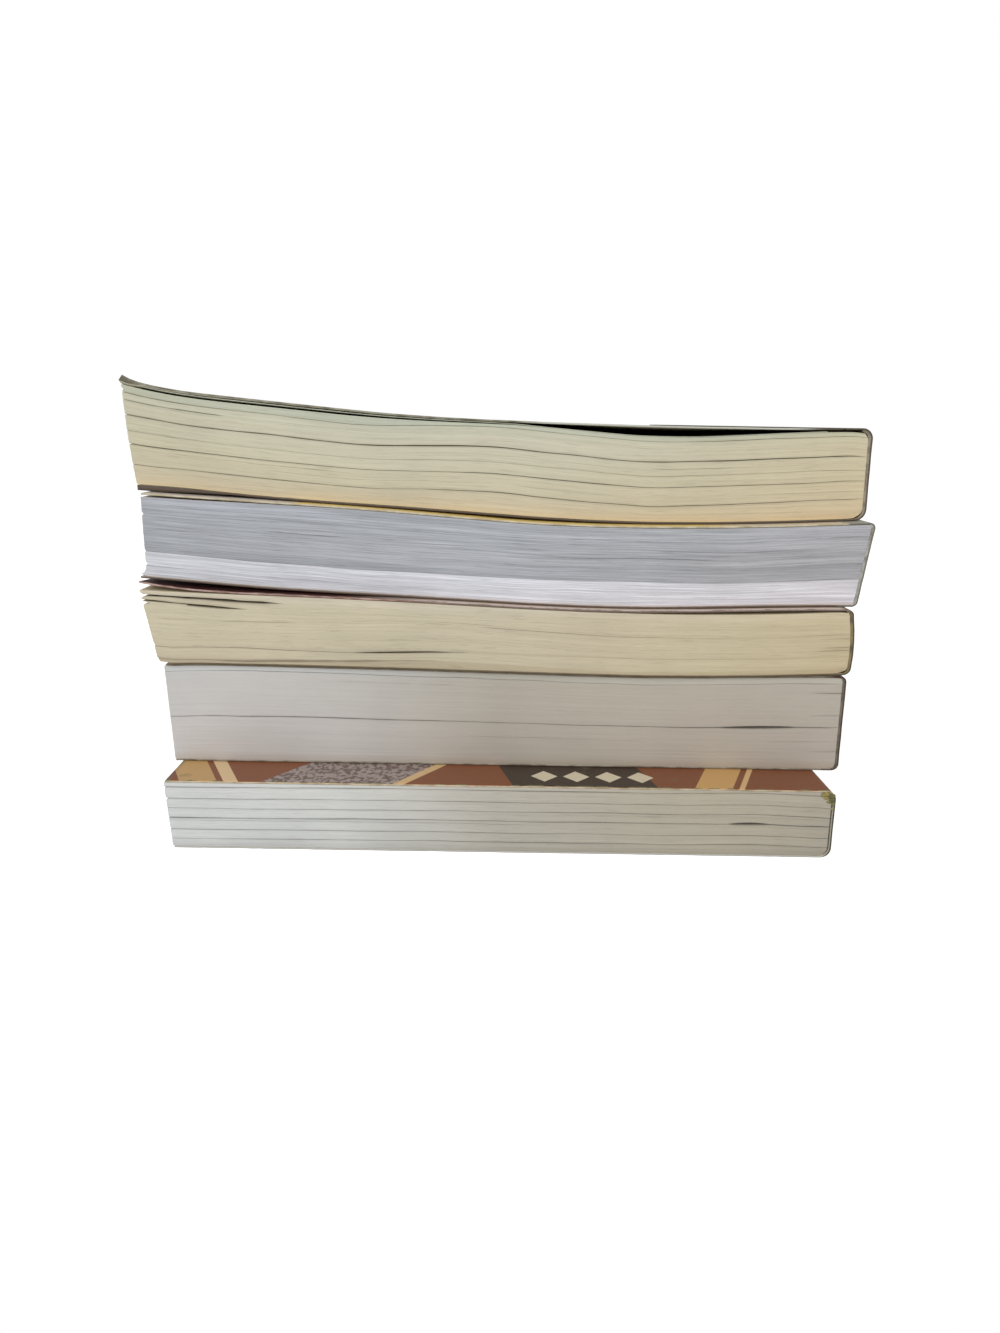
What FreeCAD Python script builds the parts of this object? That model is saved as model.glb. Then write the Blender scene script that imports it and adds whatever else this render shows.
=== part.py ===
import FreeCAD, Part
import os

os.makedirs("parts", exist_ok=True)

# A stack of five old paperbacks, lying on their backs with their heads to the front.
# Lengths are in millimetres. X runs from the fore-edges to the spines, Y from the heads
# to the tails, and Z up. The origin is the middle of the bottom book's underside.

# Card, glue and the clearances between the pieces
CARD = 0.35
GLUE_FILM = 0.5
COVER_FIT = 0.12
REST_CLEARANCE = 0.1

# Lines that open between the sections of folded sheets, round three edges of a block
LINE_WIDTH = 0.16
LINE_DEPTH = 0.45
LINE_END_FROM_SPINE = 4.5

# Bottom book, which lies flat
BOTTOM_WIDTH = 143.0
BOTTOM_LENGTH = 210.0
BOTTOM_THICKNESS = 15.9
BOTTOM_FORE_LEAN = -0.5
BOTTOM_SPINE_LEAN = -0.5
BOTTOM_FOLD_RADIUS = 2.2
BOTTOM_TURN_DEGREES = 0.5

# Fourth book from the top
FOURTH_WIDTH = 148.6
FOURTH_LENGTH = 210.0
FOURTH_THICKNESS = 22.0
FOURTH_SPINE_SHIFT = 4.6
FOURTH_SETBACK = 9.8
FOURTH_FORE_LEAN = -0.2
FOURTH_SPINE_LEAN = -0.9
FOURTH_FOLD_RADIUS = 1.5

# Middle book, whose front cover and first leaves curl up at the fore-edge
MIDDLE_WIDTH = 148.9
MIDDLE_LENGTH = 207.0
MIDDLE_THICKNESS = 15.0
MIDDLE_SPINE_SHIFT = 3.8
MIDDLE_SETBACK = 8.8
MIDDLE_FORE_LEAN = -2.1
MIDDLE_SPINE_LEAN = -1.0
MIDDLE_SPINE_BULGE = 0.35
MIDDLE_FOLD_RADIUS = 1.6
MIDDLE_WORN_CORNER = 1.7

# Second book, whose back cover flares out at the fore-edge
SECOND_WIDTH = 150.1
SECOND_LENGTH = 226.0
SECOND_THICKNESS = 17.5
SECOND_SPINE_SHIFT = 4.0
SECOND_SETBACK = 10.8
SECOND_FORE_LEAN = 0.5
SECOND_SPINE_LEAN = 1.4
SECOND_FOLD_RADIUS = 1.2
SECOND_FLARE = 1.6
SECOND_FLARE_HEIGHT = 2.4

# Top book, whose front cover opens at a crease beside the spine
TOP_WIDTH = 151.7
TOP_LENGTH = 229.0
TOP_THICKNESS = 19.5
TOP_SPINE_SHIFT = 4.3
TOP_SETBACK = 13.8
TOP_FORE_LEAN = -0.8
TOP_SPINE_LEAN = -0.8
TOP_FORE_SWELL = 0.3
TOP_FOLD_RADIUS = 2.2
CREASE_FROM_SPINE = 6.0
CREASE_GAP = 0.3

# Short slits where a section gapes at the head
SLIT_DEPTH = 5.0
MIDDLE_SLIT_LENGTH = 9.0
MIDDLE_SLIT_HEIGHT = 0.4
MIDDLE_SLIT_FROM_SPINE = 90.5
FOURTH_SLIT_LENGTH = 17.0
FOURTH_SLIT_HEIGHT = 0.45
FOURTH_SLIT_FROM_SPINE = 17.5
BOTTOM_SLIT_LENGTH = 9.0
BOTTOM_SLIT_HEIGHT = 0.5
BOTTOM_SLIT_FROM_SPINE = 19.0

# Two bundles of leaves that have lifted off the middle book's block at the fore-edge
LEAF_OPENING = 0.4
LEAF_SAG = 0.25
FIRST_LEAVES_DROP = 0.75
FIRST_LEAVES_REACH = 29.0
NEXT_LEAVES_DROP = 2.35
NEXT_LEAVES_REACH = 20.0

# Stations across a book, from its fore-edge at 0 to its spine at 1, for the lists below
STATIONS = (0.0, 0.06, 0.16, 0.35, 0.55, 0.70, 0.88, 1.0)
FLAT = (0.0, 0.0, 0.0, 0.0, 0.0, 0.0, 0.0, 0.0)

# How much thicker or thinner than its nominal thickness each book is at the stations
FOURTH_SWELL = (0.5, 0.8, 0.7, 0.35, -0.2, -0.55, -0.05, 0.2)
MIDDLE_SWELL = (3.3, 1.65, 0.9, 0.35, -0.4, -0.5, -0.2, -0.6)
SECOND_SWELL = (0.05, 0.3, 0.7, 0.4, -0.2, -0.15, -0.25, 0.3)
TOP_SWELL = (1.8, 0.35, 0.15, -0.65, 0.0, 0.3, -0.4, -1.0)

# How far each back cover stands off the front cover below it, over the clearance
FOURTH_LIFT = FLAT
MIDDLE_LIFT = (0.0, 0.0, 0.0, 0.0, 0.0, 0.05, 0.0, 0.5)
SECOND_LIFT = (0.4, 0.9, 0.5, 0.1, 0.0, 0.0, 0.0, 0.0)
TOP_LIFT = (0.95, 0.85, 0.25, 0.15, 0.35, 0.05, 0.0, 0.0)

# How far each front cover stands off its own pages, over the fit of the cover
MIDDLE_GAPE = (1.5, 0.5, 0.05, 0.05, 0.0, 0.15, 0.6, 0.05)
SECOND_GAPE = (0.35, 0.3, 0.1, 0.0, 0.0, 0.0, 0.0, 0.0)
TOP_GAPE = (0.8, 0.7, 0.8, 0.6, 0.4, 1.0, 0.45, 0.3)

# Heights of the section lines, as shares of a block's thickness
BOTTOM_LINES = (0.14, 0.28, 0.46, 0.61, 0.75, 0.92)
FOURTH_LINES = (0.46, 0.93)
MIDDLE_LINES = (0.25, 0.68)
SECOND_LINES = (0.16, 0.33, 0.80)
TOP_LINES = (0.21, 0.42, 0.70, 0.92)

# Tools for cuts run this far past the faces that they open
PAST_EDGE = 3.0

# The middle of a quarter turn lies this share of the way from its chord to its corner
QUARTER_TURN_RISE = 0.4142


def point(x, z):
    return FreeCAD.Vector(x, 0.0, z)


def level(xs, zs):
    """A wavy or straight line across a book. Its parameter is X, so it can be read at any X."""
    if min(zs) == max(zs):
        return Part.LineSegment(Part.Line(point(0.0, zs[0]), point(1.0, zs[0])), xs[0], xs[-1])
    curve = Part.BSplineCurve()
    curve.interpolate(Points=[point(x, z) for x, z in zip(xs, zs)], Parameters=list(xs))
    return curve


def height(curve, x):
    inside = min(max(x, curve.FirstParameter), curve.LastParameter)
    return curve.value(inside).z


def between(low, high, share):
    """The level at a share of the way from low to high, run on a little past the fore-edge."""
    start = min(low.FirstParameter, high.FirstParameter)
    end = min(low.LastParameter, high.LastParameter)
    xs = [start + station * (end - start) for station in STATIONS]
    zs = [height(low, x) + share * (height(high, x) - height(low, x)) for x in xs]
    return level([start - PAST_EDGE] + xs, [zs[0]] + zs)


def shifted(curve, dz):
    moved = curve.copy()
    moved.translate(point(0.0, dz))
    return moved


def arc(start, middle, end):
    return Part.Arc(start, middle, end).toShape()


def line(start, end):
    return Part.LineSegment(start, end).toShape()


def bowed(start, end, bow):
    """An edge that bows out by the vector bow at its middle, or a straight one."""
    if bow.Length == 0.0:
        return line(start, end)
    return arc(start, (start + end) * 0.5 + bow, end)


def corner(start, end, turn):
    """A quarter turn from start to end, whose tangents meet at the point turn."""
    chord_middle = (start + end) * 0.5
    return arc(start, chord_middle + (turn - chord_middle) * QUARTER_TURN_RISE, end)


def prism(edges, head, length):
    """The outline of a section, closed and drawn out from head to tail."""
    wire = Part.Wire(Part.__sortEdges__(edges))
    face = Part.Face(wire)
    face.translate(FreeCAD.Vector(0.0, head, 0.0))
    return face.extrude(FreeCAD.Vector(0.0, length, 0.0))


class Book:
    """The lines of one closed book, set on the surface below it."""

    def __init__(self, width, length, thickness, fold, spine_x, head, seat, swell=FLAT,
                 lift=FLAT, gape=FLAT, fore_lean=0.0, spine_lean=0.0, spine_bulge=0.0,
                 fore_swell=0.0, worn=0.0, flare=0.0, flare_height=0.0,
                 clearance=REST_CLEARANCE):
        self.length = length
        self.head = head
        self.fold = fold
        self.worn = worn
        self.flare = flare
        self.flare_height = flare_height
        self.spine_bulge = spine_bulge
        self.fore_swell = fore_swell
        self.left_low = spine_x - width
        self.left_high = self.left_low + fore_lean
        self.right_low = spine_x
        self.right_high = spine_x + spine_lean

        low_xs = [self.left_low + station * width for station in STATIONS]
        high_width = self.right_high - self.left_high
        high_xs = [self.left_high + station * high_width for station in STATIONS]
        low_zs = [height(seat, x) + clearance + up for x, up in zip(low_xs, lift)]
        high_zs = [z + thickness + more for z, more in zip(low_zs, swell)]
        page_zs = [z - CARD - COVER_FIT - gap for z, gap in zip(high_zs, gape)]

        self.back = level([low_xs[0] - flare] + low_xs[1:], low_zs)
        self.front = level(high_xs, high_zs)
        self.inner_back = shifted(self.back, CARD)
        self.inner_front = shifted(self.front, -CARD)
        self.page_low = shifted(self.back, CARD + COVER_FIT)
        self.page_high = level(high_xs, page_zs)

    def spine_path(self, low_line, high_line, inset, radius):
        """Edges up the spine: the turn at the back, the spine itself, the turn at the front."""
        low_x = self.right_low - inset
        high_x = self.right_high - inset
        low_start = low_line.value(self.right_low - self.fold)
        high_end = high_line.value(self.right_high - self.fold)
        low_top = point(low_x, low_start.z + radius)
        high_foot = point(high_x, high_end.z - radius)
        return [
            corner(low_start, low_top, point(low_x, low_start.z)),
            bowed(low_top, high_foot, point(self.spine_bulge, 0.0)),
            corner(high_foot, high_end, point(high_x, high_end.z)),
        ]

    def fore_edge(self):
        """Edges down the fore-edge of the pages, with a worn or a flared foot."""
        top = self.page_high.value(self.left_high)
        foot_x = self.left_low + self.worn - self.flare
        foot = self.page_low.value(foot_x)
        rise = max(self.worn, self.flare_height)
        shoulder = point(self.left_low, foot.z + rise)
        edges = [bowed(top, shoulder, point(-self.fore_swell, 0.0))]
        if rise > 0.0:
            edges.append(corner(shoulder, foot, point(self.left_low, foot.z)))
        return edges, foot_x

    def page_section(self):
        edges, foot_x = self.fore_edge()
        inset = CARD + GLUE_FILM
        radius = self.fold - CARD
        edges.append(self.page_low.toShape(foot_x, self.right_low - self.fold))
        edges += self.spine_path(self.page_low, self.page_high, inset, radius)
        edges.append(self.page_high.toShape(self.left_high, self.right_high - self.fold))
        return edges

    def pages(self):
        return prism(self.page_section(), self.head, self.length)

    def section_lines(self, shares):
        """Thin slots round head, fore-edge and tail that stop short of the spine."""
        slots = []
        for share in shares:
            middle = between(self.page_low, self.page_high, share)
            start = middle.FirstParameter
            end = self.right_low - LINE_END_FROM_SPINE
            upper = shifted(middle, LINE_WIDTH / 2.0)
            lower = shifted(middle, -LINE_WIDTH / 2.0)
            edges = [
                upper.toShape(start, end),
                line(upper.value(end), lower.value(end)),
                lower.toShape(start, end),
                line(lower.value(start), upper.value(start)),
            ]
            slots.append(prism(edges, self.head - PAST_EDGE, self.length + 2.0 * PAST_EDGE))
        core = prism(self.page_section(), self.head + LINE_DEPTH, self.length - 2.0 * LINE_DEPTH)
        core.translate(point(LINE_DEPTH, 0.0))
        return Part.makeCompound([slot.cut(core) for slot in slots])

    def slit(self, share, from_spine, length, opening):
        """A lens-shaped slit where one section gapes at the head."""
        curve = between(self.page_low, self.page_high, share)
        middle_x = self.right_low - from_spine
        start = curve.value(middle_x - length / 2.0)
        end = curve.value(middle_x + length / 2.0)
        middle = curve.value(middle_x)
        half = point(0.0, opening / 2.0)
        edges = [arc(start, middle + half, end), arc(end, middle - half, start)]
        return prism(edges, self.head - PAST_EDGE, SLIT_DEPTH + PAST_EDGE)

    def leaf_split(self, drop, reach):
        """The wedge-shaped opening under leaves that have lifted at the fore-edge."""
        start = self.left_high - PAST_EDGE
        tip_x = self.left_high + reach
        below = height(self.page_high, self.left_high) - drop
        tip = self.page_high.value(tip_x) - point(0.0, drop)
        low_start = point(start, below - LEAF_OPENING)
        high_start = point(start, below)
        sag = point(0.0, -LEAF_SAG)
        edges = [
            bowed(low_start, tip, sag),
            bowed(tip, high_start, sag),
            line(high_start, low_start),
        ]
        return prism(edges, self.head - PAST_EDGE, self.length + 2.0 * PAST_EDGE)

    def spine_glue(self):
        """The film of hot glue between the backs of the pages and the card of the spine."""
        inner = self.spine_path(self.inner_back, self.inner_front, CARD, self.fold - CARD)
        pages = self.spine_path(self.page_low, self.page_high, CARD + GLUE_FILM, self.fold - CARD)
        low_x = self.right_low - self.fold
        high_x = self.right_high - self.fold
        ends = [
            line(self.inner_back.value(low_x), self.page_low.value(low_x)),
            line(self.inner_front.value(high_x), self.page_high.value(high_x)),
        ]
        return prism(inner + pages + ends, self.head, self.length)

    def cover(self, front_from=None):
        """One folded card: back, spine and front, or the front only from front_from on."""
        back_from = self.left_low + self.worn - self.flare
        if front_from is None:
            front_from = self.left_high
        low_x = self.right_low - self.fold
        high_x = self.right_high - self.fold
        outer = self.spine_path(self.back, self.front, 0.0, self.fold)
        inner = self.spine_path(self.inner_back, self.inner_front, CARD, self.fold - CARD)
        edges = [self.back.toShape(back_from, low_x), self.inner_back.toShape(back_from, low_x)]
        edges += [self.front.toShape(front_from, high_x), self.inner_front.toShape(front_from, high_x)]
        edges.append(line(self.back.value(back_from), self.inner_back.value(back_from)))
        edges.append(line(self.front.value(front_from), self.inner_front.value(front_from)))
        return prism(outer + inner + edges, self.head, self.length)

    def front_panel(self, to_x):
        """The front cover by itself, from the fore-edge to the crease."""
        from_x = self.left_high
        edges = [
            self.front.toShape(from_x, to_x),
            line(self.front.value(to_x), self.inner_front.value(to_x)),
            self.inner_front.toShape(from_x, to_x),
            line(self.inner_front.value(from_x), self.front.value(from_x)),
        ]
        return prism(edges, self.head, self.length)


def write(node, shape):
    """One closed solid to its own file."""
    solids = shape.Solids
    assert len(solids) == 1, node + " has " + str(len(solids)) + " solids"
    solids[0].exportStep("parts/" + node + ".step")


bottom_spine = BOTTOM_WIDTH / 2.0
bottom_head = -BOTTOM_LENGTH / 2.0
table = level([-BOTTOM_WIDTH, BOTTOM_WIDTH], [0.0, 0.0])

bottom_book = Book(
    BOTTOM_WIDTH, BOTTOM_LENGTH, BOTTOM_THICKNESS, BOTTOM_FOLD_RADIUS, bottom_spine,
    bottom_head, table, fore_lean=BOTTOM_FORE_LEAN, spine_lean=BOTTOM_SPINE_LEAN,
    clearance=0.0)

fourth_book = Book(
    FOURTH_WIDTH, FOURTH_LENGTH, FOURTH_THICKNESS, FOURTH_FOLD_RADIUS,
    bottom_spine + FOURTH_SPINE_SHIFT, bottom_head + FOURTH_SETBACK, bottom_book.front,
    FOURTH_SWELL, FOURTH_LIFT, fore_lean=FOURTH_FORE_LEAN, spine_lean=FOURTH_SPINE_LEAN)

middle_book = Book(
    MIDDLE_WIDTH, MIDDLE_LENGTH, MIDDLE_THICKNESS, MIDDLE_FOLD_RADIUS,
    bottom_spine + MIDDLE_SPINE_SHIFT, bottom_head + MIDDLE_SETBACK, fourth_book.front,
    MIDDLE_SWELL, MIDDLE_LIFT, MIDDLE_GAPE, fore_lean=MIDDLE_FORE_LEAN,
    spine_lean=MIDDLE_SPINE_LEAN, spine_bulge=MIDDLE_SPINE_BULGE, worn=MIDDLE_WORN_CORNER)

second_book = Book(
    SECOND_WIDTH, SECOND_LENGTH, SECOND_THICKNESS, SECOND_FOLD_RADIUS,
    bottom_spine + SECOND_SPINE_SHIFT, bottom_head + SECOND_SETBACK, middle_book.front,
    SECOND_SWELL, SECOND_LIFT, SECOND_GAPE, fore_lean=SECOND_FORE_LEAN,
    spine_lean=SECOND_SPINE_LEAN, flare=SECOND_FLARE, flare_height=SECOND_FLARE_HEIGHT)

top_book = Book(
    TOP_WIDTH, TOP_LENGTH, TOP_THICKNESS, TOP_FOLD_RADIUS,
    bottom_spine + TOP_SPINE_SHIFT, bottom_head + TOP_SETBACK, second_book.front,
    TOP_SWELL, TOP_LIFT, TOP_GAPE, fore_lean=TOP_FORE_LEAN, spine_lean=TOP_SPINE_LEAN,
    fore_swell=TOP_FORE_SWELL)

# Bottom book: flat, with six sections to be seen and one slit near the spine
bottom_pages = bottom_book.pages().cut(bottom_book.section_lines(BOTTOM_LINES))
bottom_pages = bottom_pages.cut(
    bottom_book.slit(BOTTOM_LINES[2], BOTTOM_SLIT_FROM_SPINE, BOTTOM_SLIT_LENGTH,
                     BOTTOM_SLIT_HEIGHT))
turned = {
    "bottom_book_pages": bottom_pages,
    "bottom_book_spine_glue": bottom_book.spine_glue(),
    "bottom_book_cover": bottom_book.cover(),
}
for node, shape in turned.items():
    shape.rotate(FreeCAD.Vector(0.0, 0.0, 0.0), FreeCAD.Vector(0.0, 0.0, 1.0), BOTTOM_TURN_DEGREES)
    write(node, shape)

# Fourth book: smooth pages with one strong line that gapes near the spine
fourth_pages = fourth_book.pages().cut(fourth_book.section_lines(FOURTH_LINES))
fourth_pages = fourth_pages.cut(
    fourth_book.slit(FOURTH_LINES[0], FOURTH_SLIT_FROM_SPINE, FOURTH_SLIT_LENGTH,
                     FOURTH_SLIT_HEIGHT))
write("fourth_book_pages", fourth_pages)
write("fourth_book_spine_glue", fourth_book.spine_glue())
write("fourth_book_cover", fourth_book.cover())

# Middle book: two bundles of leaves have lifted at the fore-edge, under the curled cover
middle_pages = middle_book.pages().cut(middle_book.section_lines(MIDDLE_LINES))
middle_pages = middle_pages.cut(middle_book.leaf_split(FIRST_LEAVES_DROP, FIRST_LEAVES_REACH))
middle_pages = middle_pages.cut(middle_book.leaf_split(NEXT_LEAVES_DROP, NEXT_LEAVES_REACH))
middle_pages = middle_pages.cut(
    middle_book.slit(MIDDLE_LINES[0], MIDDLE_SLIT_FROM_SPINE, MIDDLE_SLIT_LENGTH,
                     MIDDLE_SLIT_HEIGHT))
write("middle_book_pages", middle_pages)
write("middle_book_spine_glue", middle_book.spine_glue())
write("middle_book_cover", middle_book.cover())

# Second book: its lowest section is whiter paper, and its foot flares at the fore-edge
write("second_book_pages", second_book.pages().cut(second_book.section_lines(SECOND_LINES)))
write("second_book_spine_glue", second_book.spine_glue())
write("second_book_cover", second_book.cover())

# Top book: its front cover turns about the crease, so it is a panel of its own
crease_x = top_book.right_high - CREASE_FROM_SPINE
crease_z = height(top_book.front, crease_x)
write("top_book_pages", top_book.pages().cut(top_book.section_lines(TOP_LINES)))
write("top_book_spine_glue", top_book.spine_glue())
write("top_book_spine_and_back_cover", top_book.cover(front_from=crease_x + CREASE_GAP / 2.0))
write("top_book_front_cover", top_book.front_panel(crease_x - CREASE_GAP / 2.0))
print("crease of the top book's front cover at X", round(crease_x, 3), "Z", round(crease_z, 3))
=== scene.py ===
import math

import bmesh
import bpy
import numpy as np
from mathutils import Matrix, Vector
from mathutils.bvhtree import BVHTree


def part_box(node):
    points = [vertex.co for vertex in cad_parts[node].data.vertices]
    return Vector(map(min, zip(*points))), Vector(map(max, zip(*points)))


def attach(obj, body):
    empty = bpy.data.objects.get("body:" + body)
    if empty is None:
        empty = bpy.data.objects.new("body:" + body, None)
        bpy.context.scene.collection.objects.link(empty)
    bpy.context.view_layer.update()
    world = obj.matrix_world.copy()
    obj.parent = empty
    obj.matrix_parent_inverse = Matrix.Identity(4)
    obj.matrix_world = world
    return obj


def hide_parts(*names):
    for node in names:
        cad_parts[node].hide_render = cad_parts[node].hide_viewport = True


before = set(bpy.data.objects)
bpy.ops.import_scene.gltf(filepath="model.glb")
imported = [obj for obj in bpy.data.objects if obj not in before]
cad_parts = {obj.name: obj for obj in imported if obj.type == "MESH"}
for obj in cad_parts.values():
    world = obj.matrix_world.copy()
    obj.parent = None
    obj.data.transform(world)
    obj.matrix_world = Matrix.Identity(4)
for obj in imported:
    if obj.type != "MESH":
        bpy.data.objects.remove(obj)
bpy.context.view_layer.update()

# Bottom book, pages. Seven sections of smooth white paper, glued at the back and trimmed square
# on the other three sides. Years of damp have made the leaves wavy, so the sections have parted
# and show as dark lines: shallow grooves, darkened with painted shade. One gapes open near the
# spine. The book lies a little askew.
MM = 0.001
FAR = 1.0
COLUMNS = 170
STEPS = 44
ROW_HEIGHT = 0.36 * MM
LINE_ROOM = 0.13 * MM
LINE_PARTS = (-1.0, -0.4, 0.4, 1.0)
LINE_FADE = 4.0
LINE_WANDER = 0.08
LENS_DEPTH = 5.0
# How dark the painted shade is in a line that has sprung open
LENS_DARK = 1.4
SLIT = 0.02
TOPMOST = 0.935
TAIL_CROWDING = 1.6


def section_tree(node):
    """A CAD node made ready for measuring, from a copy whose loose triangles are merged."""
    bm = bmesh.new()
    bm.from_mesh(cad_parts[node].data)
    bmesh.ops.remove_doubles(bm, verts=bm.verts, dist=0.001 * MM)
    tree = BVHTree.FromBMesh(bm)
    bm.free()
    return tree


def eased(heights, reach):
    """A measured line with the corners of its facets eased out. Its ends stay where they are."""
    window = np.hanning(2 * reach + 3)[1:-1]
    padded = np.pad(heights, reach, mode="reflect", reflect_type="odd")
    return np.convolve(padded, window / window.sum(), mode="valid")


def panel_line(tree, places, middle, side):
    """Points where a section is met from above (side 1) or below (side -1), until it breaks off."""
    points = []
    for x in places:
        hit, normal, _, _ = tree.ray_cast(Vector((x, middle, side * FAR)), Vector((0.0, 0.0, -side)))
        if hit is None or normal.z * side < 0.7:
            if points:
                break
            continue
        if points and abs(hit.z - points[-1][1]) > 2.0 * MM:
            break
        points.append((x, hit.z))
    return np.array(points)


class BlockOutline:
    """The section of a block of pages, measured on its CAD node half way along its length."""

    def __init__(self, node):
        tree = section_tree(node)
        low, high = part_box(node)
        middle = (low.y + high.y) / 2.0
        places = np.linspace(low.x, high.x, 420)[1:-1]
        centre = len(places) // 2
        self.lines = {}
        for side in (1.0, -1.0):
            leftward = panel_line(tree, places[:centre][::-1], middle, side)[::-1]
            rightward = panel_line(tree, places[centre:], middle, side)
            points = np.vstack([leftward, rightward])
            xs, heights = points[:, 0], eased(points[:, 1], 10)
            reach = 4.0 * MM
            slope_left = (heights[8] - heights[0]) / (xs[8] - xs[0])
            slope_right = (heights[-1] - heights[-9]) / (xs[-1] - xs[-9])
            xs = np.concatenate([[xs[0] - reach], xs, [xs[-1] + reach]])
            heights = np.concatenate([[heights[0] - slope_left * reach], heights,
                                      [heights[-1] + slope_right * reach]])
            self.lines[side] = (xs, heights)
        self.shares = np.linspace(0.0, 1.0, 61)
        self.left = self.side_line(tree, low.x + 3.0 * MM, middle, -1.0)
        self.right = self.side_line(tree, high.x - 4.0 * MM, middle, 1.0)

    def side_line(self, tree, x, middle, side):
        low, high = self.low(x), self.high(x)
        heights = low + np.clip(self.shares, 0.006, 0.994) * (high - low)
        inwards = Vector((-side, 0.0, 0.0))
        return [tree.ray_cast(Vector((side * FAR, middle, z)), inwards)[0].x for z in heights]

    def low(self, x):
        return np.interp(x, *self.lines[-1.0])

    def high(self, x):
        return np.interp(x, *self.lines[1.0])


def ripple(places, step, seed):
    """A smooth line that wanders between -1 and 1, with a new value every step."""
    knots = np.random.default_rng(seed).uniform(-1.0, 1.0, 4096)
    position = np.asarray(places, dtype=float) / step + 512.0
    index = np.floor(position).astype(int)
    part = position - index
    part = part * part * (3.0 - 2.0 * part)
    return knots[index] * (1.0 - part) + knots[index + 1] * part


def line(share, dark=0.55, width=0.11, depth=0.35, start=-90.0, end=76.0, **more):
    """One line between sections: where it lies in the height, how dark its painted shade is, and how wide
    and deep it is, in mm.
    """
    return dict(share=share, dark=dark, width=width, depth=depth, start=start, end=end, **more)


def between_stops(stops, x_mm):
    """Values given at a few places, joined by a soft curve."""
    places, values = zip(*stops)
    fine = np.arange(places[0] - 12.0, places[-1] + 12.0, 0.5)
    return np.interp(x_mm, fine, eased(np.interp(fine, places, values), 14))


def level(x, *others):
    return 0.0 * x


def row_places(lines, height):
    """Shares of the height at which rows lie: four for each line, and even ones between."""
    anchors = [0.0]
    for entry in lines:
        anchors += [entry["share"] + part * LINE_ROOM / height for part in LINE_PARTS]
    anchors.append(1.0)
    rows = [0.0]
    for low, high in zip(anchors, anchors[1:]):
        count = max(1, round((high - low) * height / ROW_HEIGHT))
        rows += [low + (high - low) * (i + 1) / count for i in range(count)]
    return np.array(anchors), np.array(rows)


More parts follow.
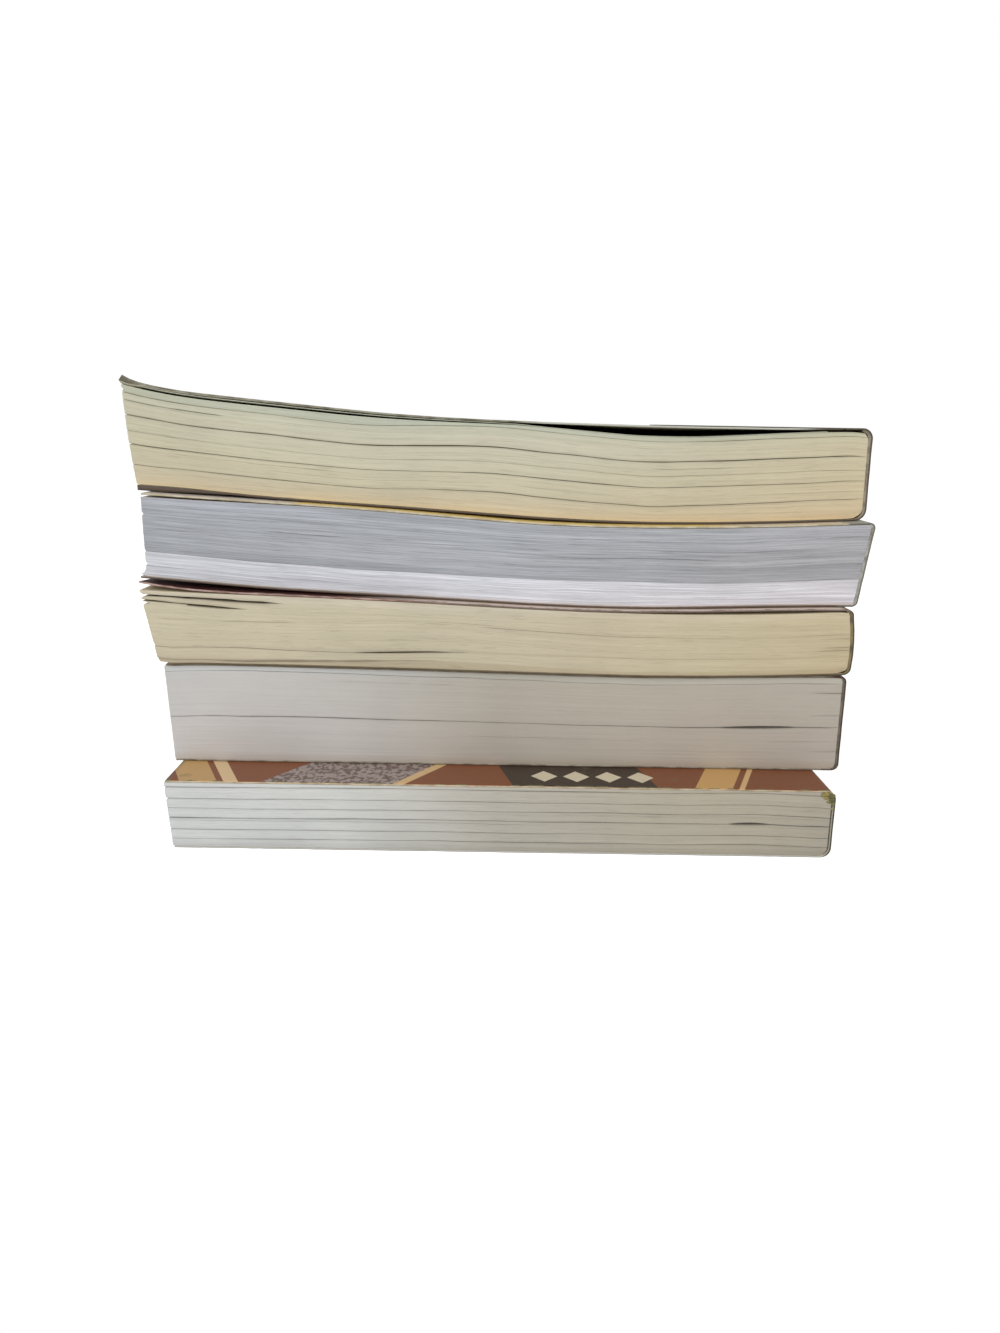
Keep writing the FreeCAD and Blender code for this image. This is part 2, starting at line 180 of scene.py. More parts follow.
def page_block(name, node, lines, rise, rough, seed, sink=level, dip=level, turn=0.0):
    """Builds a block of pages. The rise says how its lines wave, the sink how its top falls, the
    dip how far its topmost leaves lie below the cover, and the turn how the book lies askew."""
    outline = BlockOutline(node)
    low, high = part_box(node)
    width, length, _ = high - low
    height = outline.high(0.0) - outline.low(0.0)
    lines = sorted(lines, key=lambda entry: entry["share"])
    anchors, rows = row_places(lines, height)

    bm = bmesh.new()
    bmesh.ops.create_cube(bm, size=1.0, matrix=Matrix.Translation((0.5, 0.5, 0.5)))
    for axis, count in ((0, COLUMNS), (1, STEPS), (2, len(rows) - 1)):
        long_edges = [e for e in bm.edges if abs(e.verts[0].co[axis] - e.verts[1].co[axis]) > 0.5]
        bmesh.ops.subdivide_edges(bm, edges=long_edges, cuts=count - 1, use_grid_fill=True)
    mesh = bpy.data.meshes.new(name)
    bm.to_mesh(mesh)
    bm.free()
    unit = np.zeros(len(mesh.vertices) * 3)
    mesh.vertices.foreach_get("co", unit)
    unit = unit.reshape(-1, 3)
    column, step, row = np.rint(unit * (COLUMNS, STEPS, len(rows) - 1)).astype(int).T

    # How far each line has opened at each column, how deep it is there, and how dark its painted shade is
    x_mm = (low.x + np.linspace(0.0, 1.0, COLUMNS + 1) * width) / MM
    depth = np.zeros((COLUMNS + 1, len(rows)))
    dark = np.zeros((COLUMNS + 1, len(rows)))
    placed = [np.zeros(COLUMNS + 1)]
    for number, entry in enumerate(lines):
        climb = between_stops(entry.get("rise", rise), x_mm)
        climb = climb + LINE_WANDER * ripple(x_mm, 8.0, seed * 40 + number)
        middle = entry["share"] + climb * MM / height
        there = np.clip((x_mm - entry["start"]) / LINE_FADE, 0.0, 1.0)
        there = there * np.clip((entry["end"] - x_mm) / LINE_FADE, 0.0, 1.0)
        there *= 0.72 + 0.28 * ripple(x_mm, 17.0, seed * 70 + number) + 0.12 * ripple(x_mm, 3.0, number)
        if "dashes" in entry:
            there *= np.clip(0.5 + 3.0 * ripple(x_mm, entry["dashes"], seed * 90 + number), 0.0, 1.0)
        lens_place, lens_length, lens_opening = entry.get("lens", (0.0, 1.0, 0.0))
        lens = np.clip(1.0 - ((x_mm - lens_place) / (lens_length / 2.0)) ** 2, 0.0, 1.0)
        lens = lens * (lens_opening > 0.0)
        half = (SLIT + entry["width"] / 2.0 * there + lens_opening / 2.0 * lens) * MM / height
        placed += [middle + part * half for part in LINE_PARTS]
        for part in LINE_PARTS:
            at = int(np.argmin(np.abs(rows - entry["share"] - part * LINE_ROOM / height)))
            inner = 1.0 if abs(part) < 0.9 else 0.0
            depth[:, at] = inner * (entry["depth"] * there + LENS_DEPTH * np.sqrt(lens)) * MM
            # Painted shade: the rows inside each line take its darkness, the rows at its edges about a
            # third of it
            shade = np.clip(entry["dark"] * there + LENS_DARK * lens, 0.0, 1.0)
            dark[:, at] = shade * (0.35 + 0.65 * inner)
    placed.append(np.ones(COLUMNS + 1))
    placed = np.maximum.accumulate(np.clip(placed, 0.0, 1.0), axis=0)
    share_table = np.array([np.interp(rows, anchors, placed[:, i]) for i in range(COLUMNS + 1)])

    # Each few leaves stand in or out of the trimmed side by a little
    row_mm = np.arange(len(rows))
    leaf = np.array([ripple(x_mm + 37.0 * k, 22.0, seed * 7 + k) for k in row_mm]).T
    side_leaf = ripple(row_mm * 5.3, 1.0, seed + 3)
    leaf, side_leaf = (rough * MM * (0.5 + 0.5 * part) for part in (leaf, side_leaf))
    leaf[:, 0] = leaf[:, -1] = 0.0

    share = share_table[column, row]
    left = np.interp(share, outline.shares, outline.left)
    right = np.interp(share, outline.shares, outline.right)
    x = left + unit[:, 0] * (right - left)
    x = x + (column == 0) * (depth[0, row] + side_leaf[row])
    head, tail = step == 0, step == STEPS
    inward = depth[column, row] + leaf[column, row]
    y = low.y + unit[:, 1] ** TAIL_CROWDING * length + (head * inward - tail * inward)
    top = outline.high(x) - sink(x / MM, (y - low.y) / MM) * MM
    z = outline.low(x) + share * (top - outline.low(x))
    z = z - dip(x / MM) * MM * np.clip((share - TOPMOST) / (1.0 - TOPMOST), 0.0, 1.0)
    x = x - math.tan(turn) * (y - low.y - length / 2.0)
    mesh.vertices.foreach_set("co", np.stack([x, y, z], axis=1).ravel())
    # The painted shade of the lines, kept on the head, the tail and the fore-edge
    gap_shade = mesh.attributes.new("gap_shade", "FLOAT", "POINT")
    gap_shade.data.foreach_set("value", (dark[column, row] * (head | tail | (column == 0))).astype(np.float32))

    # The leaf map runs along the trimmed sides one way and up through the leaves the other
    corner = np.zeros(len(mesh.loops), dtype=int)
    mesh.loops.foreach_get("vertex_index", corner)
    place = unit[corner].reshape(-1, 4, 3)
    middle = place.mean(axis=1)
    on_fore_edge = np.repeat(middle[:, 0] < 1e-6, 4)
    along = np.where(on_fore_edge, place[:, :, 1].ravel() * length - 0.3, place[:, :, 0].ravel() * width)
    uv = np.stack([along / MM, rows[row[corner]] * height / MM], axis=1)
    mesh.uv_layers.new(name="Leaves").data.foreach_set("uv", uv.ravel().astype(np.float32))
    flat = (middle[:, 2] < 1e-6) | (middle[:, 2] > 1.0 - 1e-6)
    mesh.polygons.foreach_set("material_index", flat.astype(np.int32))
    mesh.polygons.foreach_set("use_smooth", flat)
    mesh.validate()

    piece = bpy.data.objects.new(name, mesh)
    bpy.context.scene.collection.objects.link(piece)
    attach(piece, "books")
    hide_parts(node)
    return piece, height / MM


def shader_node(tree, kind, links=None, **settings):
    """Adds a node to a material. The links fill its inputs with sockets or plain values."""
    made = tree.nodes.new("ShaderNode" + kind)
    for key, value in settings.items():
        setattr(made, key, value)
    for key, value in (links or {}).items():
        if isinstance(value, bpy.types.NodeSocket):
            tree.links.new(value, made.inputs[key])
        else:
            made.inputs[key].default_value = value
    return made


def maths(tree, operation, *values):
    return shader_node(tree, "Math", dict(enumerate(values)), operation=operation).outputs[0]


def ranged(tree, value, start, end, first=0.0, last=1.0):
    """A value carried softly from one range to another, and held at its ends."""
    links = {"Value": value, "From Min": start, "From Max": end, "To Min": first, "To Max": last}
    return shader_node(tree, "MapRange", links, interpolation_type="SMOOTHSTEP").outputs[0]


def mixed(tree, factor, first, second):
    """A colour between two, each a socket or three numbers."""
    links = {0: factor}
    for key, part in ((6, first), (7, second)):
        links[key] = part if isinstance(part, bpy.types.NodeSocket) else (*part, 1.0)
    return shader_node(tree, "Mix", links, data_type="RGBA").outputs[2]


def cloud(tree, place, scale, detail=2.0):
    return shader_node(tree, "TexNoise", {"Vector": place, "Scale": scale, "Detail": detail}).outputs["Fac"]


def streaks(tree, leaves, along, up, detail=1.0):
    """Long thin streaks that run with the leaves, at so many a millimetre each way."""
    spread = shader_node(tree, "Mapping", {"Vector": leaves, "Scale": (along, up, 1.0)}).outputs[0]
    links = {"Vector": spread, "Scale": 1.0, "Detail": detail}
    return shader_node(tree, "TexNoise", links, noise_dimensions="2D").outputs["Fac"]


def new_paint(name):
    """A new material with its node tree and its shader."""
    material = bpy.data.materials.new(name)
    material.use_nodes = True
    return material, material.node_tree, material.node_tree.nodes["Principled BSDF"]


def ramp_stops(ramp, stops):
    for number, (place, colour) in enumerate(stops):
        stop = ramp.color_ramp.elements[number] if number < 2 else ramp.color_ramp.elements.new(place)
        stop.position = place
        stop.color = (*colour, 1.0)


def leaf_edges(name, zones, spineward_tint, height, contrast, dashes, gap_shade_colour):
    """Trimmed paper. Zones are its colours at shares of the height; in some books the lowest zone
    holds painted shade, and in the top book a painted reflection. The tint across is what is left
    of them at shares of the way from the fore-edge to the spine."""
    material, tree, shader = new_paint(name)
    leaves = shader_node(tree, "UVMap", uv_map="Leaves").outputs["UV"]
    up = shader_node(tree, "SeparateXYZ", {"Vector": leaves}).outputs["Y"]
    ramp = shader_node(tree, "ValToRGB", {"Fac": maths(tree, "DIVIDE", up, height)})
    ramp_stops(ramp, zones)
    place = shader_node(tree, "TexCoord").outputs["Object"]
    across = shader_node(tree, "SeparateXYZ", {"Vector": place}).outputs["X"]
    width = {"Value": across, "From Min": -75.0 * MM, "From Max": 75.0 * MM}
    share = shader_node(tree, "MapRange", width).outputs[0]
    spineward_ramp = shader_node(tree, "ValToRGB", {"Fac": share})
    ramp_stops(spineward_ramp, spineward_tint)
    colours = {0: ramp.outputs["Color"], 1: spineward_ramp.outputs["Color"]}
    faded = shader_node(tree, "VectorMath", colours, operation="MULTIPLY").outputs[0]
    wide = streaks(tree, leaves, 0.012, 0.8)
    thin = streaks(tree, leaves, 0.030, 3.6)
    fine = streaks(tree, leaves, 0.070, 10.0, 0.0)
    total = maths(tree, "ADD", maths(tree, "ADD", wide, thin), fine)
    tone = shader_node(tree, "MapRange", {"Value": total, "From Min": 1.05, "From Max": 1.95,
                                          "To Min": 1.0 - contrast, "To Max": 1.0 + contrast}).outputs[0]
    marks = ranged(tree, streaks(tree, leaves, 0.16, 5.0), 0.62, 0.74, 1.0, 1.0 - dashes)
    blotches = shader_node(tree, "MapRange", {"Value": cloud(tree, place, 60.0, 3.0), "From Min": 0.3,
                                              "From Max": 0.7, "To Min": 0.965, "To Max": 1.035}).outputs[0]
    tone = maths(tree, "MULTIPLY", maths(tree, "MULTIPLY", tone, marks), blotches)
    paper = shader_node(tree, "VectorMath", {0: faded, "Scale": tone}, operation="SCALE").outputs[0]
    # Where the lines between sections lie, the paper is painted towards the colour of their shade
    gap_shade = shader_node(tree, "Attribute", attribute_name="gap_shade").outputs["Fac"]
    tree.links.new(mixed(tree, gap_shade, paper, gap_shade_colour), shader.inputs["Base Color"])
    shader.inputs["Roughness"].default_value = 0.9
    shader.inputs["Specular IOR Level"].default_value = 0.25
    relief = {"Height": total, "Strength": 2.5 * contrast, "Distance": 0.2 * MM}
    tree.links.new(shader_node(tree, "Bump", relief).outputs[0], shader.inputs["Normal"])
    return material


def outer_leaf(name, colour):
    """The first leaf of a block, which its cover lies on."""
    material, tree, shader = new_paint(name)
    place = shader_node(tree, "TexCoord").outputs["Object"]
    pale = [min(1.0, part * 1.06) for part in colour]
    browned = [colour[0] * 0.86, colour[1] * 0.80, colour[2] * 0.66]
    paper = mixed(tree, cloud(tree, place, 30.0, 4.0), colour, pale)
    spots = ranged(tree, cloud(tree, place, 260.0, 2.0), 0.70, 0.78, 0.0, 0.6)
    tree.links.new(mixed(tree, spots, paper, browned), shader.inputs["Base Color"])
    shader.inputs["Roughness"].default_value = 0.9
    shader.inputs["Specular IOR Level"].default_value = 0.25
    return material


WHITE_PAPER = (0.62, 0.64, 0.61)
BOTTOM_TURN = math.radians(0.5)
bottom_lens = (54.0, 9.0, 0.5)
bottom_lines = [
    line(0.12, 0.5, 0.14), line(0.265, 0.45, 0.14), line(0.455, 0.7, 0.24, 0.5, lens=bottom_lens),
    line(0.41, 0.2, 0.05, end=5.0), line(0.605, 0.5, 0.14), line(0.755, 0.55, 0.16), line(0.935, 0.5, 0.16),
    line(0.565, 0.5, 0.08, start=30.0, end=36.0),
]
bottom_rise = [
    (-72.0, 0.0), (-50.0, 0.1), (-15.0, 0.35), (5.0, 0.2), (20.0, 0.4), (35.0, 0.2), (55.0, 0.6),
    (70.0, 0.1)]
bottom_pages, bottom_height = page_block(
    "bottom_pages", "bottom_book_pages", bottom_lines, bottom_rise, 0.06, 5,
    turn=BOTTOM_TURN)
# The lowest leaves are greyer: painted shade where the book meets the floor
bottom_zones = [
    (0.0, (0.52, 0.53, 0.52)), (0.12, (0.63, 0.645, 0.64)), (0.46, (0.63, 0.645, 0.64)),
    (1.0, (0.66, 0.67, 0.66))]
# Across the width: darker and browner from the middle towards the spine
bottom_spineward_tint = [
    (0.0, (1.0, 1.0, 1.0)), (0.28, (0.96, 0.95, 0.925)), (0.5, (0.75, 0.695, 0.61)),
    (0.8, (0.73, 0.655, 0.53)), (1.0, (0.67, 0.60, 0.50))]
# Colour of the painted shade in the lines between sections
bottom_gap_shade = (0.17, 0.17, 0.15)
bottom_pages.data.materials.append(
    leaf_edges("white_leaf_edges", bottom_zones, bottom_spineward_tint, bottom_height, 0.05, 0.10, bottom_gap_shade))
bottom_pages.data.materials.append(outer_leaf("white_leaf", WHITE_PAPER))

# Bottom book, cover. One sheet of glossy coated card, printed, folded twice round the glued
# back of the pages. Its ground is brown, with slanted bands and a row of pale lozenges. The
# folds and the cut edges have worn through to the pale card.
CARD = 0.35 * MM
PANEL_STEP = 1.5 * MM
FOLD_STEP = 0.22 * MM
FOLD_ROOM = 5.0 * MM


class SheetLine:
    """The outer line of a sheet's section, with points close together near its folds."""

    def __init__(self, *parts):
        points = np.vstack(parts)
        lengths = np.concatenate([[0.0], np.cumsum(np.hypot(*np.diff(points, axis=0).T))])
        self.length = lengths[-1]
        self.folds = [lengths[count] for count in np.cumsum([len(part) for part in parts[:-1]])]
        places = [0.0]
        while places[-1] < self.length:
            near = any(abs(places[-1] - fold) < FOLD_ROOM for fold in self.folds)
            places.append(places[-1] + (FOLD_STEP if near else PANEL_STEP))
        places[-1] = self.length
        self.places = np.array(places)
        self.x = np.interp(self.places, lengths, points[:, 0])
        self.z = np.interp(self.places, lengths, points[:, 1])
        self.front_end = self.folds[0] if self.folds else self.length
        self.back_start = self.folds[-1] if self.folds else self.length


def eased_panel(points):
    """A panel's line, eased everywhere but close to its fold, which comes first."""
    easy = np.clip((points[0, 0] - points[:, 0] - 3.0 * MM) / (4.0 * MM), 0.0, 1.0)
    heights = eased(points[:, 1], 10) * easy + points[:, 1] * (1.0 - easy)
    return np.stack([points[:, 0], heights], axis=1)


def cover_line(node, over_from=-FAR, has_back=True):
    """A cover's line, measured on its CAD node: its front, its spine and its back."""
    tree = section_tree(node)
    low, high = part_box(node)
    middle = (low.y + high.y) / 2.0
    inwards = np.arange(high.x - 0.02 * MM, low.x, -0.4 * MM)
    front = eased_panel(panel_line(tree, inwards[inwards > over_from], middle, 1.0))[::-1]
    if not has_back:
        return SheetLine(front)
    back = eased_panel(panel_line(tree, inwards, middle, -1.0))
    spine = []
    for z in np.arange(front[-1, 1] - 0.1 * MM, back[0, 1], -0.2 * MM):
        hit, normal, _, _ = tree.ray_cast(Vector((FAR, middle, z)), Vector((-1.0, 0.0, 0.0)))
        if hit is not None and normal.x > 0.5:
            spine.append((hit.x, z))
    return SheetLine(front, np.array(spine), back)


def folded_sheet(name, section, head, breadth, wall, materials, drop=level, fray=0.06, seed=0, swollen=None,
                 turn=0.0):
    """Builds a sheet along its section's line. The drop says how far it hangs below that line, and
    Solidify makes it a wall thick."""
    across, down = len(section.places) - 1, 48
    bm = bmesh.new()
    bmesh.ops.create_grid(bm, x_segments=across, y_segments=down, size=0.5)
    mesh = bpy.data.meshes.new(name)
    bm.to_mesh(mesh)
    bm.free()
    unit = np.zeros(len(mesh.vertices) * 3)
    mesh.vertices.foreach_get("co", unit)
    unit = unit.reshape(-1, 3) + 0.5
    column, row = np.rint(unit[:, :2] * (across, down)).astype(int).T
    share = unit[:, 1] ** 1.5
    x, z = section.x[column], section.z[column]
    z = z - drop(x / MM, share * breadth / MM, z / MM, section.places[column] / MM) * MM
    torn = fray * MM * ripple(section.places / MM, 1.7, seed + 11)[column]
    y = head + share * breadth + (row == 0) * torn - (row == down) * torn
    x = x - math.tan(turn) * (share - 0.5) * breadth
    mesh.vertices.foreach_set("co", np.stack([x, y, z], axis=1).ravel())
    corner = np.zeros(len(mesh.loops), dtype=int)
    mesh.loops.foreach_get("vertex_index", corner)
    uv = np.stack([section.places[column[corner]], share[corner] * breadth], axis=1) / MM
    mesh.uv_layers.new(name="Card").data.foreach_set("uv", uv.ravel().astype(np.float32))
    mesh.polygons.foreach_set("use_smooth", np.ones(len(mesh.polygons), dtype=bool))
    for material in materials:
        mesh.materials.append(material)

    piece = bpy.data.objects.new(name, mesh)
    bpy.context.scene.collection.objects.link(piece)
    solid = piece.modifiers.new("thickness", "SOLIDIFY")
    solid.thickness = wall
    solid.offset = -1.0
    solid.material_offset = 1
    solid.material_offset_rim = 2
    if swollen is not None:
        group = piece.vertex_groups.new(name="thickness")
        factors = swollen(x / MM, share * breadth / MM)
        solid.thickness = wall * factors.max()
        for index, factor in enumerate(factors / factors.max()):
            group.add([index], float(factor), "REPLACE")
        solid.vertex_group = group.name
    return piece


def cover(name, node, slot, section, materials, body="books", **more):
    """Builds a cover of card in the place of its CAD node."""
    low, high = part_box(node)
    piece = folded_sheet(name, section, low.y, high.y - low.y, CARD, materials, **more)
    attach(piece, body)
    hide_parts(node)


def card_face(name, paint, section, breadth, worn, wear, shine, gloss=0.4):
    """The outer face of a cover: its paint, worn through to card along the edges and the folds."""
    material, tree, shader = new_paint(name)
    place = shader_node(tree, "TexCoord").outputs["Object"]
    flat_place = shader_node(tree, "UVMap", uv_map="Card").outputs["UV"]
    card = shader_node(tree, "SeparateXYZ", {"Vector": flat_place})
    along, down = card.outputs["X"], card.outputs["Y"]
    edge = maths(tree, "MINIMUM", along, down)
    edge = maths(tree, "MINIMUM", edge, maths(tree, "SUBTRACT", section.length / MM, along))
    edge = maths(tree, "MINIMUM", edge, maths(tree, "SUBTRACT", breadth / MM, down))
    for fold in section.folds:
        away = maths(tree, "ABSOLUTE", maths(tree, "SUBTRACT", along, fold / MM))
        edge = maths(tree, "MINIMUM", edge, away)
    nibbled = ranged(tree, cloud(tree, place, 420.0, 4.0), 0.35, 0.65, 0.0, 2.6 * wear)
    rough_edge = maths(tree, "ADD", edge, nibbled)
    rubbed = ranged(tree, rough_edge, 1.2 * wear, 2.2 * wear, 1.0, 0.0)
    scuffs = ranged(tree, cloud(tree, place, 150.0, 6.0), 0.64, 0.74, 0.0, 0.45)
    rubbed = maths(tree, "MAXIMUM", rubbed, scuffs)
    tree.links.new(mixed(tree, rubbed, paint(tree, place), worn), shader.inputs["Base Color"])
    tree.links.new(ranged(tree, rubbed, 0.0, 1.0, shine, 0.85), shader.inputs["Roughness"])
    shader.inputs["Specular IOR Level"].default_value = gloss
    swell = maths(tree, "MULTIPLY", cloud(tree, place, 40.0), 3.0)
    grain = maths(tree, "ADD", cloud(tree, place, 900.0, 2.0), swell)
    bump = shader_node(tree, "Bump", {"Height": grain, "Strength": 0.25, "Distance": 0.15 * MM}).outputs[0]
    tree.links.new(bump, shader.inputs["Normal"])
    return material


def bare_card(name, colour, shade, changes=()):
    """Unprinted card, mottled towards a shade. Each change names an axis, where on it the colour
    starts and ends to turn, in mm, and what it turns to."""
    material, tree, shader = new_paint(name)
    place = shader_node(tree, "TexCoord").outputs["Object"]
    axes = shader_node(tree, "SeparateXYZ", {"Vector": place})
    mottling = ranged(tree, cloud(tree, place, 320.0, 5.0), 0.35, 0.68)
    card = mixed(tree, mottling, colour, shade)
    for axis, start, end, other in changes:
        card = mixed(tree, ranged(tree, axes.outputs[axis], start * MM, end * MM), card, other)
    tree.links.new(card, shader.inputs["Base Color"])
    shader.inputs["Roughness"].default_value = 0.85
    shader.inputs["Specular IOR Level"].default_value = 0.25
    return material


def band(tree, value, start, end):
    """One inside a range, nothing outside."""
    return maths(tree, "COMPARE", value, (start + end) / 2.0, (end - start) / 2.0)


def lozenge(tree, x, y, centre_x, centre_y, half_x, half_y):
    """One inside a diamond, nothing outside."""
    away_x = maths(tree, "ABSOLUTE", maths(tree, "SUBTRACT", x, centre_x))
    away_y = maths(tree, "ABSOLUTE", maths(tree, "SUBTRACT", y, centre_y))
    away = maths(tree, "ADD", maths(tree, "DIVIDE", away_x, half_x), maths(tree, "DIVIDE", away_y, half_y))
    return maths(tree, "LESS_THAN", away, 1.0)


def slanted(tree, x, y, lean):
    return maths(tree, "ADD", x, maths(tree, "MULTIPLY", y, lean))


def bottom_design(tree, place):
    """Slanted bands and lozenges on brown. Its own x runs from the middle, y from the head."""
    milli = shader_node(tree, "VectorMath", {0: place, "Scale": 1.0 / MM}, operation="SCALE").outputs[0]
    parts = shader_node(tree, "SeparateXYZ", {"Vector": milli})
    x, y = parts.outputs["X"], maths(tree, "ADD", parts.outputs["Y"], 105.0)
    brown = mixed(tree, cloud(tree, place, 25.0, 3.0), (0.26, 0.095, 0.042), (0.21, 0.075, 0.034))
    colour = mixed(tree, band(tree, slanted(tree, x, y, 0.55), -68.0, -60.0), brown, (0.55, 0.34, 0.14))
    colour = mixed(tree, band(tree, slanted(tree, x, y, 0.55), -58.6, -55.5), colour, (0.72, 0.52, 0.30))
    speckle = ranged(tree, cloud(tree, place, 1100.0, 1.0), 0.42, 0.58)
    mauve = mixed(tree, speckle, (0.16, 0.115, 0.10), (0.38, 0.31, 0.29))
    colour = mixed(tree, band(tree, slanted(tree, x, y, -0.8), -50.0, -22.0), colour, mauve)
    colour = mixed(tree, band(tree, slanted(tree, x, y, -0.8), -22.0, -19.5), colour, (0.68, 0.47, 0.24))
    colour = mixed(tree, band(tree, slanted(tree, x, y, 0.3), 3.0, 34.0), colour, (0.055, 0.038, 0.028))
    for number in range(4):
        centre = 10.0 + 7.0 * number
        shown = lozenge(tree, x, y, centre, 4.6, 2.9, 2.7)
        colour = mixed(tree, shown, colour, (0.70, 0.62, 0.46))
    colour = mixed(tree, band(tree, slanted(tree, x, y, -0.45), 42.0, 50.0), colour, (0.62, 0.37, 0.14))
    return mixed(tree, band(tree, slanted(tree, x, y, -0.45), 51.4, 52.6), colour, (0.70, 0.46, 0.22))


CREAM_CARD = (0.66, 0.54, 0.38)
BROWNED_CARD = (0.40, 0.29, 0.17)
bottom_section = cover_line("bottom_book_cover")
bottom_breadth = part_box("bottom_book_cover")[1].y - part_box("bottom_book_cover")[0].y
bottom_wear = (0.20, 0.19, 0.11)
cover(
    "bottom_cover", "bottom_book_cover", "brown_cover_card", bottom_section,
    [card_face("printed_brown_card", bottom_design, bottom_section, bottom_breadth, bottom_wear, 0.35, 0.4),
     bare_card("brown_card_inside", (0.62, 0.58, 0.50), (0.52, 0.47, 0.38)),
     # Low down the cut edge turns grey: painted shade where the book meets the floor
     bare_card("brown_card_edge", CREAM_CARD, BROWNED_CARD,
               [("Z", 10.0, 6.0, (0.50, 0.49, 0.46)), ("X", 70.6, 71.6, (0.07, 0.075, 0.05))])],
    seed=21, turn=BOTTOM_TURN)

# Bottom book, glue. A film of hot glue holds the pages in the cover. It has yellowed, and at
# the head a few beads of it have come out between the leaves and the front fold.
BEADS = (
    (69.2, 15.0, 0.45), (70.1, 15.2, 0.65), (70.9, 14.7, 0.6), (69.9, 14.3, 0.5), (71.2, 13.9, 0.5),
    (70.6, 13.4, 0.42), (71.4, 12.9, 0.4), (71.4, 11.7, 0.28))


def glue(name, colour, shade):
    """Hot glue, mottled with dirt."""
    material, tree, shader = new_paint(name)
    place = shader_node(tree, "TexCoord").outputs["Object"]
    mottling = ranged(tree, cloud(tree, place, 500.0, 4.0), 0.35, 0.65)
    tree.links.new(mixed(tree, mottling, colour, shade), shader.inputs["Base Color"])
    shader.inputs["Roughness"].default_value = 0.45
    return material


def glue_film(node, colour, shade):
    """Gives a CAD film of glue its finish."""
    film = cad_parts[node]
    film.data.materials.clear()
    film.data.materials.append(glue(node, colour, shade))


glue_film("bottom_book_spine_glue", (0.06, 0.065, 0.045), (0.15, 0.15, 0.10))
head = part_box("bottom_book_pages")[0].y
bm = bmesh.new()
for number, (x, z, radius) in enumerate(BEADS):
    place = Matrix.Translation((x * MM, head, z * MM)) @ Matrix.Diagonal((1.3, 0.6, 0.9, 1.0))
    made = bmesh.ops.create_icosphere(bm, subdivisions=3, radius=radius * MM, matrix=place)
    for vertex in made["verts"]:
        vertex.co += Vector((x * MM - vertex.co.x, 0.0, z * MM - vertex.co.z)) * (
            0.15 * math.sin(3.1 * number + 2400.0 * vertex.co.x + 3100.0 * vertex.co.z))
mesh = bpy.data.meshes.new("bottom_glue_beads")
bm.to_mesh(mesh)
bm.free()
mesh.polygons.foreach_set("use_smooth", np.ones(len(mesh.polygons), dtype=bool))
mesh.materials.append(glue("yellowed_glue", (0.34, 0.28, 0.08), (0.12, 0.105, 0.04)))
beads = bpy.data.objects.new("bottom_glue_beads", mesh)
bpy.context.scene.collection.objects.link(beads)
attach(beads, "books")

# Fourth book, pages. A thick block of smooth beige paper in two parts, with one strong line
# between them that gapes near the spine, and a few whiter leaves on top.
fourth_lens = (57.5, 17.0, 0.4)
fourth_lines = [
    line(0.462, 0.7, 0.16, 0.5, lens=fourth_lens), line(0.94, 0.35, 0.07),
    line(0.86, 0.14, 0.03, 0.1, start=-45.0, end=-5.0, dashes=6.0), line(0.30, 0.10, 0.03, 0.1, dashes=9.0),
    line(0.84, 0.6, 0.06, 0.2, start=68.5, end=82.0), line(0.59, 0.6, 0.06, 0.2, start=68.0, end=82.0),
    line(0.19, 0.5, 0.06, 0.2, start=68.0, end=82.0),
]
fourth_rise = [
    (-76.0, 0.0), (-50.0, 0.35), (-20.0, 0.1), (0.0, 0.1), (20.0, -0.15), (42.0, -0.25), (70.0, 0.0)]
fourth_pages, fourth_height = page_block(
    "fourth_pages", "fourth_book_pages", fourth_lines, fourth_rise, 0.04, 4)
fourth_zones = [
    (0.0, (0.50, 0.455, 0.41)), (0.08, (0.56, 0.535, 0.52)), (0.91, (0.56, 0.545, 0.53)),
    (0.95, (0.59, 0.595, 0.585))]
# Across the width: darker and browner from the middle towards the spine
fourth_spineward_tint = [
    (0.0, (1.0, 1.0, 1.0)), (0.3, (0.95, 0.94, 0.91)), (0.5, (0.80, 0.755, 0.66)),
    (0.78, (0.85, 0.80, 0.70)), (1.0, (0.86, 0.80, 0.71))]
# Colour of the painted shade in the lines between sections
fourth_gap_shade = (0.11, 0.10, 0.08)
fourth_pages.data.materials.append(
    leaf_edges("beige_leaf_edges", fourth_zones, fourth_spineward_tint, fourth_height, 0.022, 0.03, fourth_gap_shade))
fourth_pages.data.materials.append(outer_leaf("beige_leaf", (0.56, 0.54, 0.50)))

# Fourth book, cover. Plain card with a satin face, reddish brown towards the foot of the spine
# and greyish elsewhere, folded tightly round a flat back.
def fourth_paint(tree, place):
    height = shader_node(tree, "SeparateXYZ", {"Vector": place}).outputs["Z"]
    grey = mixed(tree, cloud(tree, place, 60.0, 3.0), (0.20, 0.18, 0.15), (0.27, 0.25, 0.21))
    return mixed(tree, ranged(tree, height, 0.024, 0.030, 1.0, 0.0), grey, (0.11, 0.045, 0.030))


fourth_section = cover_line("fourth_book_cover")
fourth_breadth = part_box("fourth_book_cover")[1].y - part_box("fourth_book_cover")[0].y
cover(
    "fourth_cover", "fourth_book_cover", "plain_cover_card", fourth_section,
    [card_face("plain_card", fourth_paint, fourth_section, fourth_breadth, (0.42, 0.36, 0.28), 0.3, 0.45),
     bare_card("plain_card_inside", (0.56, 0.52, 0.46), (0.46, 0.41, 0.34)),
     bare_card("plain_card_edge", (0.34, 0.29, 0.22), (0.18, 0.14, 0.10),
               [("X", 71.0, 73.0, (0.10, 0.055, 0.038))])], seed=22)
glue_film("fourth_book_spine_glue", (0.09, 0.085, 0.06), (0.18, 0.155, 0.12))

